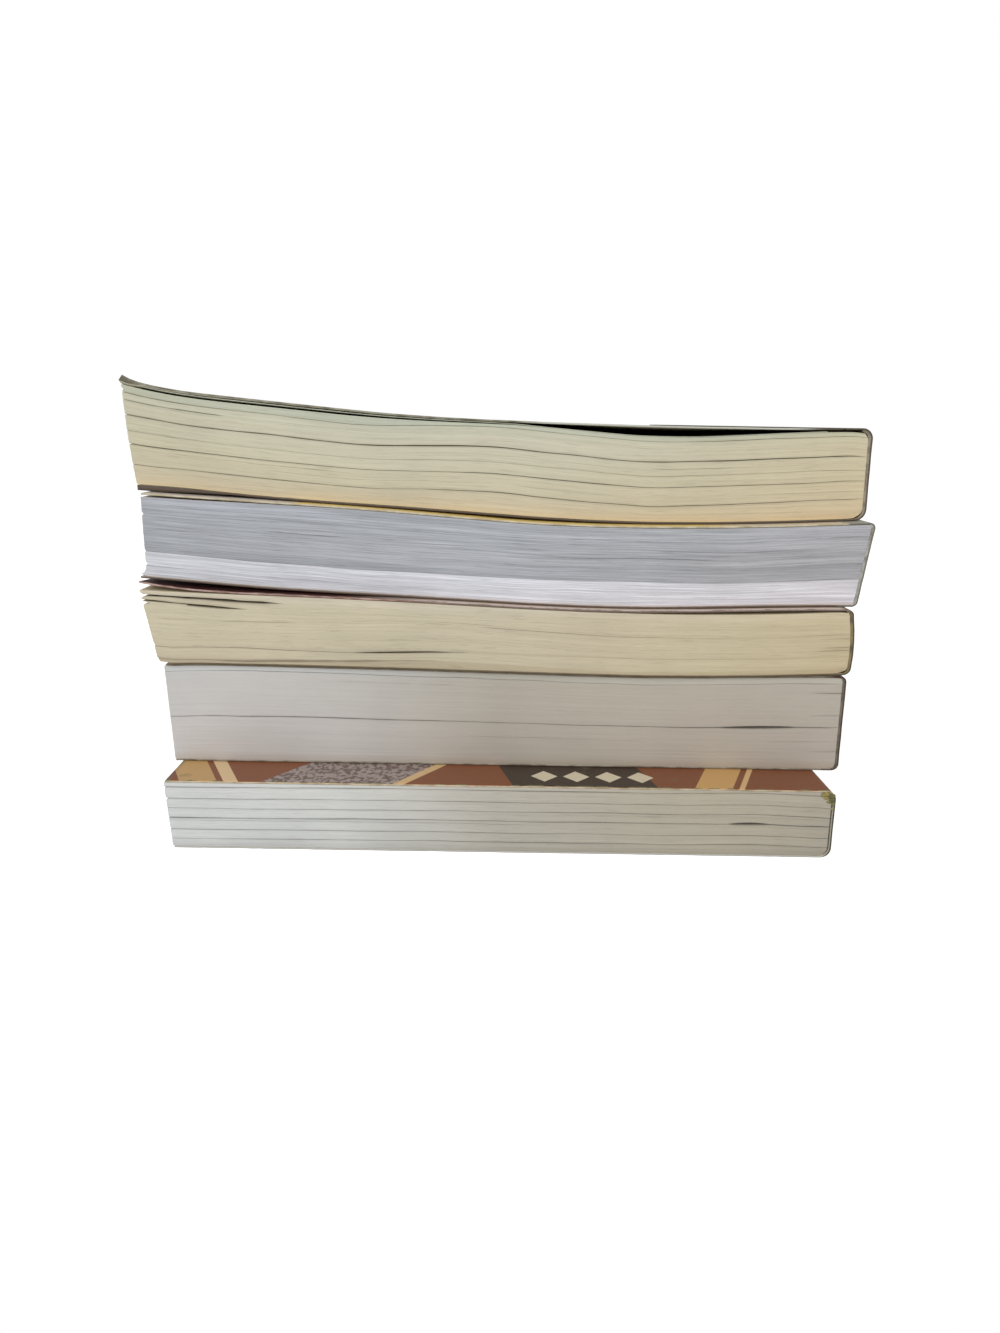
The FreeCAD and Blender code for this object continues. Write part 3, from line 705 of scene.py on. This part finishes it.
# Middle book, pages. Soft tan paper, the most worn of the pile. Its first leaves have lifted
# at the fore-edge, and one section has sprung open in a long thin slit.
sag_rise = [(-12.0, 0.1), (15.0, -1.2), (40.0, -1.0), (60.0, -0.9), (72.0, -0.3)]
slit_rise = [(-60.0, -0.2), (-35.0, -0.5), (-11.0, 0.4)]
middle_lines = [
    line(0.28, 0.35, 0.06, start=-11.0, rise=sag_rise),
    line(0.24, 0.45, 0.08, 0.4, end=-8.0, lens=(-22.0, 22.0, 0.28), rise=slit_rise),
    line(0.63, 0.32, 0.05, 0.2, dashes=7.0), line(0.66, 0.16, 0.04, 0.1, start=-45.0, end=5.0, dashes=5.0),
    line(0.86, 0.9, 0.45, 7.0, end=-54.0, rise=[(-76.0, 0.1), (-56.0, -0.9), (0.0, -0.9)]),
    line(0.935, 0.9, 0.4, 7.0, end=-46.0, rise=[(-76.0, 0.0), (-46.0, -0.5), (0.0, -0.5)]),
    line(0.05, 0.55, 0.55, 0.1, end=-14.0), line(0.565, 0.6, 0.05, 0.2, start=67.5, end=82.0),
    line(0.42, 0.6, 0.07, 0.2, start=67.5, end=82.0), line(0.37, 0.5, 0.05, 0.2, start=66.5, end=82.0),
]
middle_rise = [
    (-76.0, 0.0), (-60.0, -0.3), (-42.0, 0.0), (-12.0, 1.0), (5.0, 0.5), (25.0, -0.2), (72.0, 0.1)]
middle_pages, middle_height = page_block(
    "middle_pages", "middle_book_pages", middle_lines, middle_rise, 0.07, 3)
# The lowest leaves are darker and browner: painted shade at the foot of the block, over the fourth book
middle_zones = [
    (0.0, (0.46, 0.39, 0.26)), (0.1, (0.56, 0.50, 0.355)), (0.9, (0.58, 0.52, 0.375)),
    (1.0, (0.61, 0.55, 0.42))]
# Across the width: nearly even, a little warmer at the spine
middle_spineward_tint = [
    (0.0, (1.0, 1.0, 1.03)), (0.5, (1.0, 1.0, 1.04)), (0.8, (1.03, 1.01, 0.98)), (1.0, (1.0, 0.95, 0.87))]
# Colour of the painted shade in the lines between sections
middle_gap_shade = (0.075, 0.05, 0.035)
middle_pages.data.materials.append(
    leaf_edges("tan_leaf_edges", middle_zones, middle_spineward_tint, middle_height, 0.05, 0.12, middle_gap_shade))
middle_pages.data.materials.append(outer_leaf("tan_leaf", (0.56, 0.49, 0.35)))

# Middle book, cover. Dark maroon card whose front has faded to mauve away from the fore-edge.
# Near the fore-edge, in the open mouth under the book above, its maroon is darkened nearly to
# black with painted shade. Its pink core shows on the cut edge, which curls up towards the book above.
def middle_paint(tree, place):
    x = shader_node(tree, "SeparateXYZ", {"Vector": place}).outputs["X"]
    # Maroon darkened nearly to black: the card's own colour with painted shade of the mouth under the book
    # above
    maroon_and_shade = mixed(tree, cloud(tree, place, 80.0, 4.0), (0.030, 0.006, 0.006), (0.06, 0.013, 0.012))
    mauve = mixed(tree, cloud(tree, place, 130.0, 4.0), (0.56, 0.46, 0.40), (0.72, 0.62, 0.55))
    front = mixed(tree, ranged(tree, x, -0.034, -0.010), maroon_and_shade, mauve)
    rubbed = mixed(tree, cloud(tree, place, 90.0, 4.0), (0.075, 0.035, 0.025), (0.13, 0.09, 0.055))
    return mixed(tree, ranged(tree, x, 0.0715, 0.0735), front, rubbed)


CLOSED = 0.1


def middle_drop(x, d, z, along):
    """Behind its head edge the front closes onto the pages."""
    room = np.maximum(z - CARD / MM - CLOSED - middle_outline.high(x * MM) / MM, 0.0)
    return (along < middle_section.front_end / MM) * room * (1.0 - np.exp(-d / 12.0))


middle_outline = BlockOutline("middle_book_pages")
middle_section = cover_line("middle_book_cover")
middle_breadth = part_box("middle_book_cover")[1].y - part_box("middle_book_cover")[0].y
cover(
    "middle_cover", "middle_book_cover", "maroon_cover_card", middle_section,
    [card_face("maroon_card", middle_paint, middle_section, middle_breadth, (0.24, 0.17, 0.12), 0.35, 0.5),
     bare_card("maroon_card_inside", (0.50, 0.43, 0.33), (0.38, 0.31, 0.22)),
     # Low down, on the back, the cut edge turns dark brown: painted shade in the gap over the fourth book
     bare_card("maroon_card_edge", (0.50, 0.35, 0.31), (0.26, 0.15, 0.12),
               [("X", -25.0, -5.0, (0.22, 0.165, 0.14)), ("Z", 48.0, 44.0, (0.12, 0.095, 0.055)),
                ("X", 73.0, 74.0, (0.10, 0.08, 0.05))])],
    drop=middle_drop, seed=23)
glue_film("middle_book_spine_glue", (0.26, 0.20, 0.09), (0.10, 0.08, 0.045))

# Second book, pages. Grey streaked paper with a lower third of bluish white leaves. The block
# has slumped, so its back leans and its fore-edge is hollow.
second_lines = [
    line(0.14, 0.12, 0.04, 0.1, dashes=9.0), line(0.325, 0.30, 0.05, 0.15),
    line(0.41, 0.35, 0.05, 0.15, start=-38.0, end=-12.0, dashes=8.0),
    line(0.62, 0.4, 0.07, 0.2, start=8.0, end=46.0),
    line(0.70, 0.35, 0.06, 0.2, start=-52.0, end=-32.0), line(0.72, 0.25, 0.06, 0.2, start=32.0, end=60.0),
    line(0.85, 0.15, 0.04, 0.1, dashes=9.0),
]
second_rise = [
    (-76.0, 0.0), (-45.0, -0.4), (-25.0, -0.65), (-10.0, -0.4), (10.0, -0.2), (30.0, 0.0),
    (47.0, -0.6), (70.0, 0.0)]
second_pages, second_height = page_block(
    "second_pages", "second_book_pages", second_lines, second_rise, 0.06, 2)
second_zones = [
    (0.0, (0.62, 0.56, 0.53)), (0.03, (0.68, 0.675, 0.72)), (0.31, (0.70, 0.70, 0.75)),
    (0.335, (0.395, 0.405, 0.435)), (0.6, (0.42, 0.43, 0.46)), (1.0, (0.43, 0.445, 0.48))]
# Across the width: a little darker at the fore-edge, lighter towards the spine
second_spineward_tint = [
    (0.0, (0.93, 0.94, 0.94)), (0.25, (0.96, 0.965, 0.97)), (0.5, (1.03, 1.04, 1.04)),
    (0.8, (1.05, 1.03, 1.02)), (1.0, (1.02, 0.99, 0.98))]
# Colour of the painted shade in the lines between sections
second_gap_shade = (0.12, 0.115, 0.12)
second_pages.data.materials.append(
    leaf_edges("grey_leaf_edges", second_zones, second_spineward_tint, second_height, 0.2, 0.14, second_gap_shade))
second_pages.data.materials.append(outer_leaf("grey_leaf", (0.62, 0.58, 0.56)))

# Second book, cover. Card with a broad golden field across its front, on a pale ground. Its
# spine is rubbed back to rough grey board from top to bottom.
def second_paint(tree, place):
    x = shader_node(tree, "SeparateXYZ", {"Vector": place}).outputs["X"]
    gold = mixed(tree, cloud(tree, place, 45.0, 4.0), (0.74, 0.53, 0.16), (0.82, 0.63, 0.26))
    left_end = ranged(tree, x, -0.045, -0.041)
    field = maths(tree, "MULTIPLY", left_end, ranged(tree, x, 0.040, 0.052, 1.0, 0.25))
    paint = mixed(tree, field, (0.62, 0.55, 0.50), gold)
    grey = mixed(tree, cloud(tree, place, 700.0, 5.0), (0.30, 0.29, 0.25), (0.50, 0.49, 0.43))
    return mixed(tree, ranged(tree, x, 0.0700, 0.0712), paint, grey)


second_section = cover_line("second_book_cover")
second_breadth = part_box("second_book_cover")[1].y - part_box("second_book_cover")[0].y
cover(
    "second_cover", "second_book_cover", "yellow_cover_card", second_section,
    [card_face("golden_card", second_paint, second_section, second_breadth, (0.46, 0.43, 0.36), 0.3, 0.42),
     bare_card("golden_card_inside", (0.60, 0.55, 0.48), (0.50, 0.44, 0.36)),
     # Low down, on the back, the cut edge turns dark brown: painted shade in the gap over the middle book
     bare_card("golden_card_edge", (0.62, 0.56, 0.42), (0.42, 0.36, 0.24),
               [("Z", 65.0, 61.0, (0.15, 0.105, 0.08)), ("X", 70.8, 71.8, (0.20, 0.19, 0.155))])], seed=24)
glue_film("second_book_spine_glue", (0.42, 0.41, 0.37), (0.20, 0.19, 0.155))

# Top book, pages. Yellowed paper in six sections, the waviest of the pile. Its fore-edge has
# lifted at the head, where the damp got in, and lies lower towards the tail.
LIFTED_FROM = -27.0
LIFTED_BY = 2.35
SETTLES_IN = 26.0


def top_sink(x, d):
    """How far the lifted corner has settled, in mm, at x and at a distance d from the head."""
    reach = np.clip((LIFTED_FROM - x) / (76.0 + LIFTED_FROM), 0.0, 1.2)
    return LIFTED_BY * reach ** 1.4 * (1.0 - np.exp(-np.clip(d, 0.0, None) / SETTLES_IN))


def top_dip(x):
    """The topmost leaves have sunk away from the cover on the side of the spine."""
    return 0.8 * np.clip((x - 2.0) / 26.0, 0.0, 1.0) * np.clip((66.0 - x) / 26.0, 0.0, 1.0)


top_lines = [
    line(0.205, 0.6, 0.13), line(0.30, 0.12, 0.03, 0.1, dashes=8.0),
    line(0.365, 0.4, 0.07, 0.2, start=-80.0, end=-35.0, dashes=6.0), line(0.415, 0.6, 0.13),
    line(0.545, 0.26, 0.05, 0.12, start=-90.0),
    line(0.62, 0.22, 0.04, 0.12, start=22.0, end=50.0, dashes=7.0),
    line(0.705, 0.85, 0.24, 0.5), line(0.78, 0.22, 0.04, 0.12, start=-40.0, end=-18.0, dashes=7.0),
    line(0.855, 0.5, 0.10, 0.25, end=-50.0, dashes=4.0), line(0.928, 0.45, 0.09, 0.3),
]
top_rise = [
    (-76.0, 0.0), (-50.0, -0.1), (-28.0, -0.4), (-14.0, 0.4), (-2.0, 0.8), (12.0, 0.2),
    (30.0, -0.55), (50.0, 0.0), (60.0, 0.2), (70.0, 0.5)]
top_pages, top_height = page_block(
    "top_pages", "top_book_pages", top_lines, top_rise, 0.07, 1, sink=top_sink, dip=top_dip)
# The lowest leaves are golden: a painted reflection of the golden cover of the second book below
top_zones = [
    (0.0, (0.66, 0.54, 0.34)), (0.045, (0.61, 0.53, 0.375)), (0.18, (0.575, 0.525, 0.39)),
    (0.5, (0.57, 0.54, 0.41)), (0.8, (0.56, 0.54, 0.425)), (0.92, (0.55, 0.545, 0.43)),
    (0.945, (0.50, 0.52, 0.42))]
# Across the width: a little darker at the fore-edge, lighter and warmer at the spine
top_spineward_tint = [
    (0.0, (0.96, 0.945, 0.91)), (0.35, (1.0, 1.0, 1.0)), (0.6, (1.04, 1.03, 1.02)),
    (1.0, (1.08, 1.0, 0.90))]
# Colour of the painted shade in the lines between sections
top_gap_shade = (0.10, 0.09, 0.055)
top_pages.data.materials.append(
    leaf_edges("cream_leaf_edges", top_zones, top_spineward_tint, top_height, 0.055, 0.12, top_gap_shade))
top_pages.data.materials.append(outer_leaf("cream_leaf", (0.60, 0.56, 0.42)))

# Top book, cover. Olive grey card, satin once and now dull, creased along the spine where the
# front turns. The front's corner at the head has swollen and curled where it was thumbed, and
# the back's corner under it has swollen down towards the second book.
CORNER_REACH = 4.0
CORNER_SWELL = 4.0
CORNER_CURL = 0.7
BACK_SWELL = 0.75


def top_paint(tree, place):
    return mixed(tree, cloud(tree, place, 40.0, 5.0), (0.27, 0.26, 0.205), (0.34, 0.33, 0.265))


def near_corner(x, d):
    """One at the thumbed corner, falling to nothing a few millimetres away."""
    return np.clip(1.0 - np.hypot(x + 76.7, d) / CORNER_REACH, 0.0, 1.0)


def top_room(x, z):
    """Room between a line and the pages below it, in mm."""
    return np.maximum(z - CLOSED - top_outline.high(x * MM) / MM, 0.0)


def front_drop(x, d, z, along):
    """The front settles with the pages, closes onto them behind its head edge and curls at its corner."""
    reach = 1.5 + 7.0 * np.clip((x + 74.0) / 40.0, 0.0, 1.0) + 22.0 * np.clip(x / 6.0, 0.0, 1.0)
    closing = (top_room(x, z - CARD / MM) + top_dip(x)) * (1.0 - np.exp(-d / reach))
    return top_sink(x, d) + closing - CORNER_CURL * near_corner(x, d) ** 2


def back_corner(x, d):
    """One at the back's own corner at the head, falling to nothing along both its edges."""
    return np.clip((-56.0 - x) / 14.0, 0.0, 1.0) * np.exp(-d / 8.0)


def back_drop(x, d, z, along):
    """The corner of the back has swollen down towards the book below."""
    return BACK_SWELL * back_corner(x, d)


def back_swell(x, d):
    return 1.0 + BACK_SWELL * MM / CARD * back_corner(x, d)


def corner_swell(x, d):
    """Thickness of the card as a share of its own, most at the thumbed corner."""
    return 1.0 + (CORNER_SWELL - 1.0) * near_corner(x, d) ** 0.6


top_outline = BlockOutline("top_book_pages")
front_section = cover_line("top_book_front_cover", has_back=False)
back_section = cover_line("top_book_spine_and_back_cover", over_from=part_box("top_book_front_cover")[1].x)
top_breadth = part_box("top_book_front_cover")[1].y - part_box("top_book_front_cover")[0].y
top_inside = bare_card("olive_card_inside", (0.53, 0.50, 0.41), (0.47, 0.43, 0.33))
# Low down, on the back, the cut edge turns dark: painted shade in the gap over the second book
top_edge = bare_card(
    "olive_card_edge", (0.34, 0.33, 0.25), (0.13, 0.115, 0.08),
    [("X", 2.0, 9.0, (0.52, 0.53, 0.46)), ("X", 58.0, 66.0, (0.10, 0.085, 0.06)),
     ("Z", 82.0, 78.0, (0.12, 0.09, 0.07))])
cover(
    "top_front_cover", "top_book_front_cover", "top_cover_card", front_section,
    [card_face("olive_card_front", top_paint, front_section, top_breadth, (0.50, 0.49, 0.42), 0.6, 0.5),
     top_inside, top_edge],
    body="top_front_cover", drop=front_drop, fray=0.2, seed=25, swollen=corner_swell)
cover(
    "top_spine_and_back_cover", "top_book_spine_and_back_cover", "top_cover_card", back_section,
    [card_face("olive_card_back", top_paint, back_section, top_breadth, (0.36, 0.34, 0.27), 0.4, 0.5),
     top_inside, top_edge], drop=back_drop, seed=26, swollen=back_swell)
glue_film("top_book_spine_glue", (0.17, 0.14, 0.10), (0.30, 0.26, 0.19))

# Top book, first leaf. It has come away from the block at the head and lies loose on it, with
# its free corner lifted into the gap under the cover.
LEAF = 0.16 * MM
LEAF_LIFT = 0.55


def leaf_drop(x, d, z, along):
    """The first leaf has lifted between the block and the cover at the head, towards the fore-edge."""
    cover_z = np.interp(x * MM, front_section.x, front_section.z) / MM
    lifted = LEAF_LIFT * top_room(x, cover_z - CARD / MM)
    lifted = lifted * np.clip((8.0 - x) / 14.0, 0.0, 1.0) * np.exp(-d / 7.0)
    return top_sink(x, d) + top_dip(x) - lifted


leaf_low, leaf_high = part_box("top_book_pages")
leaf_x = np.arange(leaf_low.x + 1.5 * MM, leaf_high.x - 8.0 * MM, 1.5 * MM)
leaf_line = SheetLine(np.stack([leaf_x, top_outline.high(leaf_x) + LEAF + 0.02 * MM], axis=1))
leaf_paper = outer_leaf("greenish_leaf", (0.46, 0.48, 0.39))
loose_leaf = folded_sheet(
    "top_loose_leaf", leaf_line, leaf_low.y + 0.3 * MM, leaf_high.y - leaf_low.y - 0.8 * MM, LEAF,
    [leaf_paper, leaf_paper, leaf_paper], drop=leaf_drop, fray=0.10, seed=27)
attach(loose_leaf, "books")

# Floor. The stack lies on a plain white sheet that runs on past the view. It glows for the
# camera alone, so that it looks white round the shadow and throws no more light on the books.
FLOOR_SIZE = 6.0
FLOOR_GLOW = 0.75

bm = bmesh.new()
bmesh.ops.create_grid(bm, x_segments=1, y_segments=1, size=FLOOR_SIZE / 2.0)
floor_mesh = bpy.data.meshes.new("floor")
bm.to_mesh(floor_mesh)
bm.free()
floor = bpy.data.objects.new("floor", floor_mesh)
bpy.context.scene.collection.objects.link(floor)
floor_paint, tree, shader = new_paint("floor_white")
shader.inputs["Base Color"].default_value = (0.8, 0.8, 0.8, 1.0)
shader.inputs["Roughness"].default_value = 1.0
seen = shader_node(tree, "LightPath").outputs["Is Camera Ray"]
shader.inputs["Emission Color"].default_value = (1.0, 1.0, 1.0, 1.0)
tree.links.new(maths(tree, "MULTIPLY", seen, FLOOR_GLOW), shader.inputs["Emission Strength"])
floor_mesh.materials.append(floor_paint)

# Light. Daylight falls on the heads from the left, and a warmer room light fills the right.
# The air all round is white to the camera and dimmer on the books.
AIR_ON_BOOKS = 0.42
AIR_SEEN = 1.0

world = bpy.data.worlds.new("studio")
bpy.context.scene.world = world
world.use_nodes = True
tree = world.node_tree
air = tree.nodes["Background"]
seen = shader_node(tree, "LightPath").outputs["Is Camera Ray"]
levels = {"Value": seen, "To Min": AIR_ON_BOOKS, "To Max": AIR_SEEN}
tree.links.new(shader_node(tree, "MapRange", levels).outputs[0], air.inputs["Strength"])
air.inputs["Color"].default_value = (1.0, 1.0, 1.0, 1.0)


def soft_light(name, place, aim, size, power, colour):
    lamp = bpy.data.lights.new(name, "AREA")
    lamp.shape = "SQUARE"
    lamp.size = size
    lamp.energy = power
    lamp.color = colour
    holder = bpy.data.objects.new(name, lamp)
    holder.location = place
    holder.rotation_euler = (Vector(aim) - Vector(place)).to_track_quat("-Z", "Y").to_euler()
    bpy.context.scene.collection.objects.link(holder)


soft_light("window", (-0.28, -0.55, 0.34), (-0.03, -0.10, 0.05), 0.4, 1.9, (0.96, 0.98, 1.0))
soft_light("room", (0.5, -0.5, 0.4), (0.05, -0.10, 0.05), 0.5, 1.3, (1.0, 0.93, 0.84))

# Camera. It stands in front of the heads, level with the top book, and looks down a little.
# Its place, pitch and roll were fitted to the edges of the five books in the photograph.
CAMERA_PLACE = (0.0, -0.26046, 0.08969)
PHOTO_HEIGHT = 1333.0
FOCAL_PIXELS = 800.0
HORIZON_ROW = 422.0
CAMERA_ROLL = math.radians(0.9)
SENSOR = 36.0

pitch = math.atan((PHOTO_HEIGHT / 2.0 - HORIZON_ROW) / FOCAL_PIXELS)
ahead = Vector((0.0, math.cos(pitch), -math.sin(pitch)))
level_right = Vector((1.0, 0.0, 0.0))
level_up = Vector((0.0, math.sin(pitch), math.cos(pitch)))
right = level_right * math.cos(CAMERA_ROLL) + level_up * math.sin(CAMERA_ROLL)
up = level_up * math.cos(CAMERA_ROLL) - level_right * math.sin(CAMERA_ROLL)
lens = bpy.data.cameras.new("camera")
lens.sensor_width = SENSOR
lens.lens = FOCAL_PIXELS / PHOTO_HEIGHT * SENSOR
camera = bpy.data.objects.new("camera", lens)
turned = Matrix((right, up, -ahead)).transposed().to_4x4()
camera.matrix_world = Matrix.Translation(CAMERA_PLACE) @ turned
bpy.context.scene.collection.objects.link(camera)
bpy.context.scene.camera = camera
bpy.context.scene.view_settings.view_transform = "Standard"
